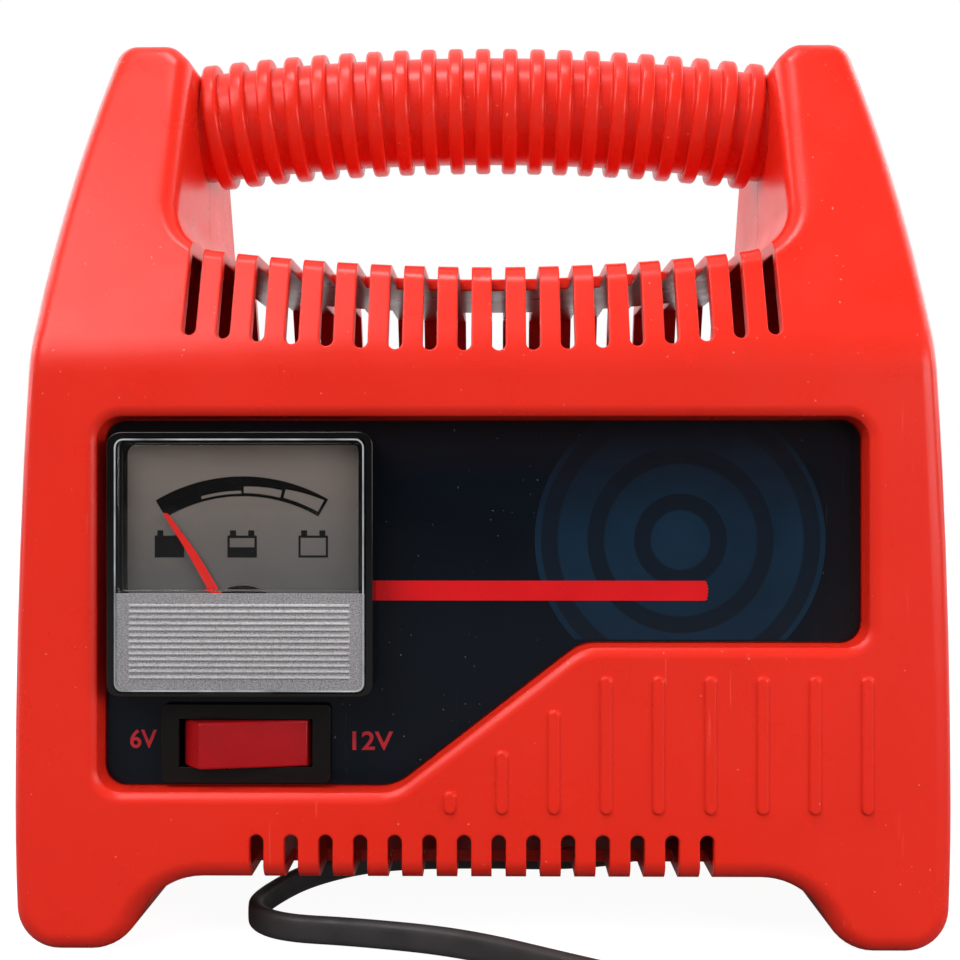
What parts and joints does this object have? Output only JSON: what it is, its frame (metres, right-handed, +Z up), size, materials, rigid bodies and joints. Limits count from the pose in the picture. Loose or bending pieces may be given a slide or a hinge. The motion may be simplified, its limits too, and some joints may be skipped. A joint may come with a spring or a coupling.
{
  "type": "car battery charger",
  "caption": "Portable mains battery charger: vented plastic case with a ribbed carry handle, panel meter, rocker switch and coiled mains lead with plug.",
  "frame": {"origin": "middle of the case's footprint, at the underside of its feet", "axes": "+Z up, -Y the front with the meter and the switch, +X to the right as seen from the front"},
  "size_m": [0.18, 0.2818, 0.1866],
  "materials": {
    "red_case": "moulded",
    "dark_panel": "printed sheet",
    "black_plastic": "moulded",
    "clear_plastic": "clear",
    "frosted_trim": "brushed",
    "dial_grey": "printed",
    "needle_red": "painted",
    "rocker_red": "moulded",
    "steel": "zinc plated",
    "brass": "plain",
    "aluminium": "plain",
    "iron_core": "varnished laminations",
    "bobbin_nylon": "moulded",
    "winding_tape": "taped copper wire",
    "cord_rubber": "soft",
    "tie_plastic": "moulded"
  },
  "bodies": {
    "charger": {"front_cover": "red_case", "rear_cover": "red_case", "front_panel": "dark_panel", "case_screws": "steel", "meter_case": "black_plastic", "meter_cover": "clear_plastic", "meter_window": "frosted_trim", "meter_dial": "dial_grey", "meter_movement": "steel", "meter_studs": "steel", "meter_nuts": "steel", "meter_terminals": "brass", "switch_body": "black_plastic", "switch_terminals": "brass", "transformer_core": "iron_core", "transformer_bobbin": "bobbin_nylon", "primary_winding": "winding_tape", "secondary_winding": "winding_tape", "transformer_bracket": "steel", "transformer_screws": "steel", "heat_sink": "aluminium", "heat_sink_screw": "steel", "rectifier_diodes": "black_plastic", "thermal_cutout": "black_plastic", "terminal_block": "bobbin_nylon", "mains_strain_relief": "cord_rubber", "outlet_grommet": "cord_rubber", "mains_lead": "cord_rubber", "mains_lead_coil": "cord_rubber", "mains_lead_tail": "cord_rubber", "coil_tie": "tie_plastic", "mains_plug": "cord_rubber", "plug_pins": "brass"},
    "rocker": {"switch_rocker": "rocker_red"},
    "needle": {"meter_needle": "needle_red", "moving_coil": "brass"}
  },
  "joints": [
    {"name": "rocker_tilt", "type": "hinge", "parent": "charger", "child": "rocker", "pos_m": [-0.0449, -0.0386, 0.0403], "axis": [0, 0, -1], "range_deg": [0, 20]},
    {"name": "needle_swing", "type": "hinge", "parent": "charger", "child": "needle", "pos_m": [-0.0457, -0.04, 0.0587], "axis": [0, 1, 0], "range_deg": [0, 64], "stiffness_Nm_per_rad": 0.00002, "springref_deg": -11.46}
  ]
}
